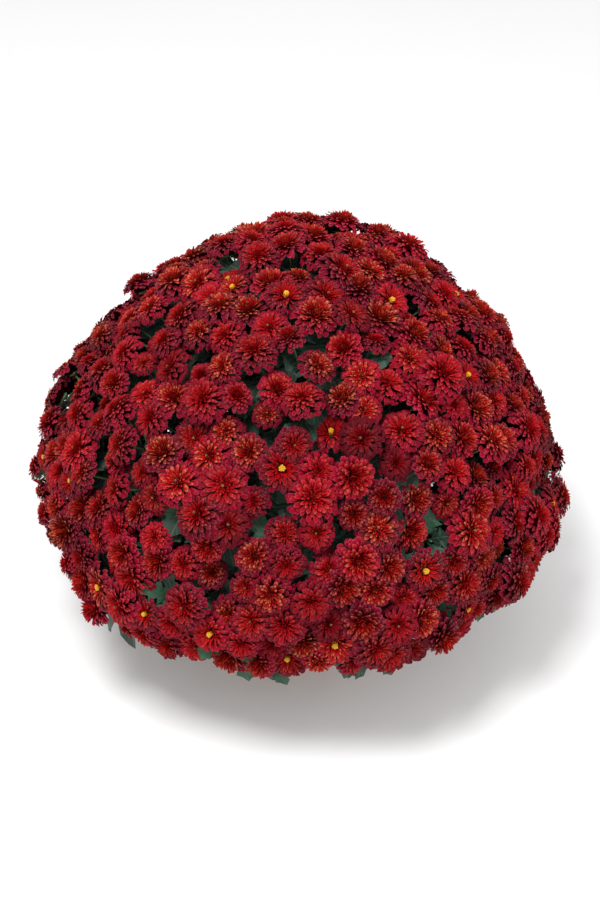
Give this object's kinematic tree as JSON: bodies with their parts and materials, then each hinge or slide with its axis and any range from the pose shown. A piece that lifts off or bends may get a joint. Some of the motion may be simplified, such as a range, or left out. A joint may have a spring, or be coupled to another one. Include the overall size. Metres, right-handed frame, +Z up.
{
  "type": "pot chrysanthemum",
  "caption": "Potted cushion chrysanthemum: a dome of dark red double flowers over lobed leaves, on stems that rise from soil in a round nursery pot.",
  "frame": {"origin": "centre of the pot's flat base, on the surface it stands on", "axes": "+Z up along the pot's axis; +Y points away from the picture's camera, and +X to its right"},
  "size_m": [0.6068, 0.5992, 0.4915],
  "materials": {
    "crimson_petals": "matte",
    "leaf_green": "matte",
    "terracotta_plastic": "matte",
    "potting_mix": "matte"
  },
  "bodies": {
    "root": {"bloom_spray_01": "crimson_petals", "bloom_spray_02": "crimson_petals", "bloom_spray_03": "crimson_petals", "bloom_spray_04": "crimson_petals", "bloom_spray_05": "crimson_petals", "bloom_spray_06": "crimson_petals", "bloom_spray_07": "crimson_petals", "bloom_spray_08": "crimson_petals", "bloom_spray_09": "crimson_petals", "bloom_spray_10": "crimson_petals", "bloom_spray_11": "crimson_petals", "bloom_spray_12": "crimson_petals", "bloom_spray_13": "crimson_petals", "bloom_spray_14": "crimson_petals", "bloom_spray_15": "crimson_petals", "bloom_spray_16": "crimson_petals", "bloom_spray_17": "crimson_petals", "bloom_spray_18": "crimson_petals", "bloom_spray_19": "crimson_petals", "bloom_spray_20": "crimson_petals", "bloom_spray_21": "crimson_petals", "bloom_spray_22": "crimson_petals", "bloom_spray_23": "crimson_petals", "bloom_spray_24": "crimson_petals", "bloom_spray_25": "crimson_petals", "bloom_spray_26": "crimson_petals", "bloom_spray_27": "crimson_petals", "leafy_shoot_01": "leaf_green", "leafy_shoot_02": "leaf_green", "leafy_shoot_03": "leaf_green", "leafy_shoot_04": "leaf_green", "leafy_shoot_05": "leaf_green", "leafy_shoot_06": "leaf_green", "leafy_shoot_07": "leaf_green", "leafy_shoot_08": "leaf_green", "leafy_shoot_09": "leaf_green", "leafy_shoot_10": "leaf_green", "leafy_shoot_11": "leaf_green", "leafy_shoot_12": "leaf_green", "leafy_shoot_13": "leaf_green", "leafy_shoot_14": "leaf_green", "leafy_shoot_15": "leaf_green", "leafy_shoot_16": "leaf_green", "leafy_shoot_17": "leaf_green", "leafy_shoot_18": "leaf_green", "leafy_shoot_19": "leaf_green", "leafy_shoot_20": "leaf_green", "leafy_shoot_21": "leaf_green", "leafy_shoot_22": "leaf_green", "leafy_shoot_23": "leaf_green", "leafy_shoot_24": "leaf_green", "leafy_shoot_25": "leaf_green", "leafy_shoot_26": "leaf_green", "leafy_shoot_27": "leaf_green", "pot": "terracotta_plastic", "potting_soil": "potting_mix"}
  },
  "joints": []
}
